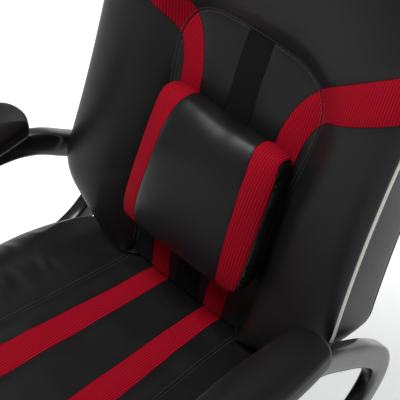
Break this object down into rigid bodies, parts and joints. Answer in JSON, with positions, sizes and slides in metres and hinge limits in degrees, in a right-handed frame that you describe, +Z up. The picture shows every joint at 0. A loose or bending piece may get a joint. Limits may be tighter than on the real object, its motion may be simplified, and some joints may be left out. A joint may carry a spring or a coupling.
{
  "type": "gaming chair",
  "caption": "Swivelling high-backed chair on a castered star base with gas lift, tilt, two loop armrests and a lumbar cushion.",
  "frame": {"origin": "on the floor, under the middle of the chair's bounding box", "axes": "+Z up, the chair faces -Y, +X towards the sitter's left"},
  "size_m": [0.658, 0.7146, 1.1413],
  "materials": {
    "seat_leather": "soft satin coated fabric with a fine grain",
    "back_leather": "soft satin coated fabric with a fine grain",
    "pad_leather": "soft satin coated fabric with a fine grain",
    "lumbar_leather": "soft satin coated fabric with a fine grain",
    "red_mesh": "deep red ribbed spacer mesh",
    "black_mesh": "matte black spacer mesh",
    "white_piping": "off-white twisted-weave piping",
    "stitching": "black polyester thread",
    "dust_cloth": "black non-woven cloth",
    "board": "raw plywood",
    "loop_plastic": "glossy black nylon",
    "cover_plastic": "semi-gloss black polypropylene",
    "base_nylon": "fine-textured black nylon",
    "wheel_nylon": "satin black nylon",
    "bush_plastic": "natural acetal",
    "black_steel": "black powder coat",
    "bright_steel": "polished hard chrome",
    "zinc_steel": "bright zinc plate"
  },
  "bodies": {
    "base": {"star_base": "base_nylon", "column_tube": "black_steel", "column_bush": "bush_plastic", "thrust_bearing": "zinc_steel", "dust_cover_lower": "cover_plastic"},
    "rod": {"gas_rod": "zinc_steel", "rod_clip": "zinc_steel"},
    "cover_middle": {"dust_cover_middle": "cover_plastic"},
    "lift": {"gas_spring": "bright_steel", "dust_cover_upper": "cover_plastic", "tilt_housing": "black_steel", "pivot_pin": "zinc_steel", "tension_spring": "zinc_steel"},
    "knob": {"tension_knob": "base_nylon"},
    "lever_pivot": {"lever_block": "black_steel"},
    "lever": {"lever_rod": "black_steel", "lever_handle": "base_nylon"},
    "seat": {"seat_plate": "black_steel", "seat_dust_cloth": "dust_cloth", "seat_board": "board", "seat_cushion": "seat_leather", "back_cushion": "back_leather", "back_piping": "white_piping", "back_board": "board", "back_rear_panel": "back_leather", "back_bracket": "black_steel", "back_bracket_cover": "cover_plastic", "arm_loop_left": "loop_plastic", "arm_loop_right": "loop_plastic", "arm_pad_left": "pad_leather", "arm_pad_right": "pad_leather", "arm_bracket_left": "black_steel", "arm_bracket_right": "black_steel", "lumbar_loop_patch": "dust_cloth"},
    "lumbar": {"lumbar_cushion": "lumbar_leather"},
    "caster_1": {"caster_stem_1": "zinc_steel", "caster_hood_1": "cover_plastic", "caster_axle_1": "zinc_steel"},
    "caster_1_wheel_left": {"caster_wheel_1_left": "wheel_nylon"},
    "caster_1_wheel_right": {"caster_wheel_1_right": "wheel_nylon"},
    "caster_2": {"caster_stem_2": "zinc_steel", "caster_hood_2": "cover_plastic", "caster_axle_2": "zinc_steel"},
    "caster_2_wheel_left": {"caster_wheel_2_left": "wheel_nylon"},
    "caster_2_wheel_right": {"caster_wheel_2_right": "wheel_nylon"},
    "caster_3": {"caster_stem_3": "zinc_steel", "caster_hood_3": "cover_plastic", "caster_axle_3": "zinc_steel"},
    "caster_3_wheel_left": {"caster_wheel_3_left": "wheel_nylon"},
    "caster_3_wheel_right": {"caster_wheel_3_right": "wheel_nylon"},
    "caster_4": {"caster_stem_4": "zinc_steel", "caster_hood_4": "cover_plastic", "caster_axle_4": "zinc_steel"},
    "caster_4_wheel_left": {"caster_wheel_4_left": "wheel_nylon"},
    "caster_4_wheel_right": {"caster_wheel_4_right": "wheel_nylon"},
    "caster_5": {"caster_stem_5": "zinc_steel", "caster_hood_5": "cover_plastic", "caster_axle_5": "zinc_steel"},
    "caster_5_wheel_left": {"caster_wheel_5_left": "wheel_nylon"},
    "caster_5_wheel_right": {"caster_wheel_5_right": "wheel_nylon"}
  },
  "joints": [
    {"name": "seat_swivel", "type": "hinge", "parent": "base", "child": "rod", "pos_m": [0, -0.0673, 0.25], "axis": [0, 0, 1], "continuous": true},
    {"name": "lift", "type": "slide", "parent": "rod", "child": "lift", "axis": [0, 0, 1], "range_m": [0, 0.1]},
    {"name": "cover_middle_slide", "type": "slide", "parent": "rod", "child": "cover_middle", "axis": [0, 0, 1], "range_m": [0, 0.05]},
    {"name": "tilt", "type": "hinge", "parent": "lift", "child": "seat", "pos_m": [0, -0.1273, 0.312], "axis": [-1, 0, 0], "range_deg": [0, 14], "stiffness_Nm_per_rad": 220, "springref_deg": -14.32},
    {"name": "tension_knob_turn", "type": "hinge", "parent": "lift", "child": "knob", "pos_m": [0, -0.1853, 0.22], "axis": [0, 0, 1], "continuous": true},
    {"name": "lever_lift", "type": "hinge", "parent": "lift", "child": "lever_pivot", "pos_m": [-0.029, -0.0453, 0.278], "axis": [0, 1, 0], "range_deg": [0, 6], "stiffness_Nm_per_rad": 12, "springref_deg": -3.44},
    {"name": "lever_lock", "type": "slide", "parent": "lever_pivot", "child": "lever", "axis": [-1, 0, 0], "range_m": [0, 0.012]},
    {"name": "lumbar_height", "type": "slide", "parent": "seat", "child": "lumbar", "axis": [0, 0.2079, 0.9781], "range_m": [-0.04, 0.06]},
    {"name": "caster_1_swivel", "type": "hinge", "parent": "base", "child": "caster_1", "pos_m": [0, 0.2227, 0.06], "axis": [0, 0, 1], "continuous": true},
    {"name": "caster_1_roll_left", "type": "hinge", "parent": "caster_1", "child": "caster_1_wheel_left", "pos_m": [-0.01147, 0.23908, 0.025], "axis": [-0.8192, -0.5736, 0], "continuous": true},
    {"name": "caster_1_roll_right", "type": "hinge", "parent": "caster_1", "child": "caster_1_wheel_right", "pos_m": [-0.01147, 0.23908, 0.025], "axis": [-0.8192, -0.5736, 0], "continuous": true},
    {"name": "caster_2_swivel", "type": "hinge", "parent": "base", "child": "caster_2", "pos_m": [-0.27581, 0.02232, 0.06], "axis": [0, 0, 1], "continuous": true},
    {"name": "caster_2_roll_left", "type": "hinge", "parent": "caster_2", "child": "caster_2_wheel_left", "pos_m": [-0.29043, 0.03596, 0.025], "axis": [-0.682, -0.7314, 0], "continuous": true},
    {"name": "caster_2_roll_right", "type": "hinge", "parent": "caster_2", "child": "caster_2_wheel_right", "pos_m": [-0.29043, 0.03596, 0.025], "axis": [-0.682, -0.7314, 0], "continuous": true},
    {"name": "caster_3_swivel", "type": "hinge", "parent": "base", "child": "caster_3", "pos_m": [-0.17046, -0.30191, 0.06], "axis": [0, 0, 1], "continuous": true},
    {"name": "caster_3_roll_left", "type": "hinge", "parent": "caster_3", "child": "caster_3_wheel_left", "pos_m": [-0.16232, -0.32019, 0.025], "axis": [0.9135, 0.4067, 0], "continuous": true},
    {"name": "caster_3_roll_right", "type": "hinge", "parent": "caster_3", "child": "caster_3_wheel_right", "pos_m": [-0.16232, -0.32019, 0.025], "axis": [0.9135, 0.4067, 0], "continuous": true},
    {"name": "caster_4_swivel", "type": "hinge", "parent": "base", "child": "caster_4", "pos_m": [0.17046, -0.30191, 0.06], "axis": [0, 0, 1], "continuous": true},
    {"name": "caster_4_roll_left", "type": "hinge", "parent": "caster_4", "child": "caster_4_wheel_left", "pos_m": [0.16562, -0.32132, 0.025], "axis": [0.9703, -0.2419, 0], "continuous": true},
    {"name": "caster_4_roll_right", "type": "hinge", "parent": "caster_4", "child": "caster_4_wheel_right", "pos_m": [0.16562, -0.32132, 0.025], "axis": [0.9703, -0.2419, 0], "continuous": true},
    {"name": "caster_5_swivel", "type": "hinge", "parent": "base", "child": "caster_5", "pos_m": [0.27581, 0.02232, 0.06], "axis": [0, 0, 1], "continuous": true},
    {"name": "caster_5_roll_left", "type": "hinge", "parent": "caster_5", "child": "caster_5_wheel_left", "pos_m": [0.29258, 0.03321, 0.025], "axis": [-0.5446, 0.8387, 0], "continuous": true},
    {"name": "caster_5_roll_right", "type": "hinge", "parent": "caster_5", "child": "caster_5_wheel_right", "pos_m": [0.29258, 0.03321, 0.025], "axis": [-0.5446, 0.8387, 0], "continuous": true}
  ],
  "couplings": [
    {"joint": "cover_middle_slide", "follows": "lift", "ratio": 0.5}
  ]
}
